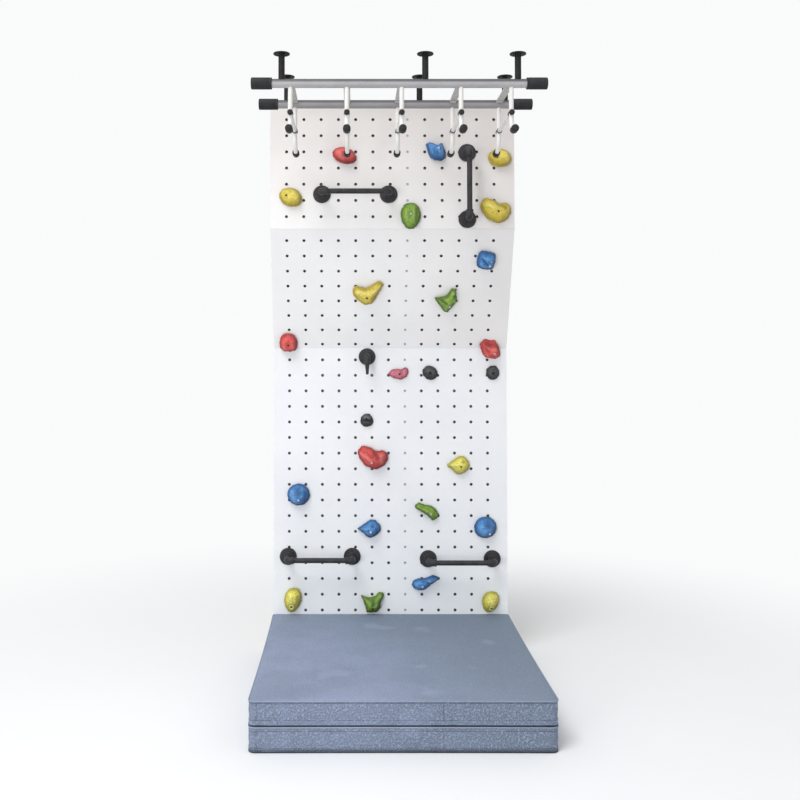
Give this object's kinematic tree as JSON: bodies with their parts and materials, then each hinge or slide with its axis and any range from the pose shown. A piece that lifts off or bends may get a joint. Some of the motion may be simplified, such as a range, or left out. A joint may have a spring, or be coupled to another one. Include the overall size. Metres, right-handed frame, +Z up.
{
  "type": "indoor climbing wall",
  "caption": "Indoor climbing wall of drilled boards with a leaning middle, bolted holds, pipe grab bars, a peg, a ceiling rack of hanging rungs and a two-layer landing mat.",
  "frame": {"origin": "centre of the bounding box at floor level", "axes": "+Z up, -Y out of the wall towards the climber, +X to the right of someone who faces the wall"},
  "size_m": [1.2464, 1.2641, 2.8],
  "materials": {
    "board_paint": "white-coated plywood, matt",
    "bare_timber": "planed softwood",
    "hold_red": "gritty cast resin",
    "hold_blue": "gritty cast resin",
    "hold_yellow": "gritty cast resin",
    "hold_green": "gritty cast resin",
    "hold_pink": "gritty cast resin",
    "hold_black": "gritty cast resin",
    "black_pipe": "blackened pipe and fittings",
    "galvanised_steel": "galvanised, satin",
    "black_rubber": "matt",
    "white_paint": "satin",
    "mat_cover": "coated cloth over foam"
  },
  "bodies": {
    "wall": {"sheet_lower": "board_paint", "sheet_middle": "board_paint", "sheet_upper": "board_paint", "frame_left": "bare_timber", "frame_centre": "bare_timber", "frame_right": "bare_timber", "hold_red_oval": "hold_red", "hold_blue_block": "hold_blue", "hold_yellow_oval_right": "hold_yellow", "hold_yellow_oval_left": "hold_yellow", "hold_green_egg": "hold_green", "hold_yellow_bean": "hold_yellow", "hold_blue_cube": "hold_blue", "hold_yellow_hook": "hold_yellow", "hold_green_arrow": "hold_green", "hold_red_knob": "hold_red", "hold_red_block": "hold_red", "foothold_pink": "hold_pink", "foothold_black_dome": "hold_black", "foothold_black_disc": "hold_black", "foothold_black_pinch": "hold_black", "hold_red_bean": "hold_red", "hold_yellow_lemon": "hold_yellow", "hold_blue_round_left": "hold_blue", "hold_green_slug": "hold_green", "hold_blue_teardrop": "hold_blue", "hold_blue_round_right": "hold_blue", "hold_blue_bulb": "hold_blue", "hold_yellow_egg_left": "hold_yellow", "hold_green_horns": "hold_green", "hold_yellow_egg_right": "hold_yellow", "grab_bar_top": "black_pipe", "grab_bar_side": "black_pipe", "grab_bar_low_left": "black_pipe", "grab_bar_low_right": "black_pipe", "peg": "black_pipe", "rail_front": "galvanised_steel", "rail_rear": "galvanised_steel", "sleeve_front_left": "black_rubber", "sleeve_front_right": "black_rubber", "sleeve_rear_left": "black_rubber", "sleeve_rear_right": "black_rubber", "post_front_left": "black_pipe", "post_front_centre": "black_pipe", "post_front_right": "black_pipe", "post_rear_left": "black_pipe", "post_rear_centre": "black_pipe", "post_rear_right": "black_pipe", "rail_tie_1": "galvanised_steel", "rail_tie_2": "galvanised_steel", "rail_tie_3": "galvanised_steel", "rail_tie_4": "galvanised_steel", "rail_tie_5": "galvanised_steel", "hanging_rung_1": "white_paint", "hanging_rung_2": "white_paint", "hanging_rung_3": "white_paint", "hanging_rung_4": "white_paint", "hanging_rung_5": "white_paint"},
    "mat_lower": {"mat_lower": "mat_cover"},
    "mat_upper": {"mat_upper": "mat_cover"}
  },
  "joints": [
    {"name": "mat_lower_slide", "type": "slide", "parent": "wall", "child": "mat_lower", "axis": [0, -1, 0], "range_m": [0, 0.5]},
    {"name": "mat_upper_slide", "type": "slide", "parent": "mat_lower", "child": "mat_upper", "axis": [0, -1, 0], "range_m": [0, 0.5]}
  ]
}
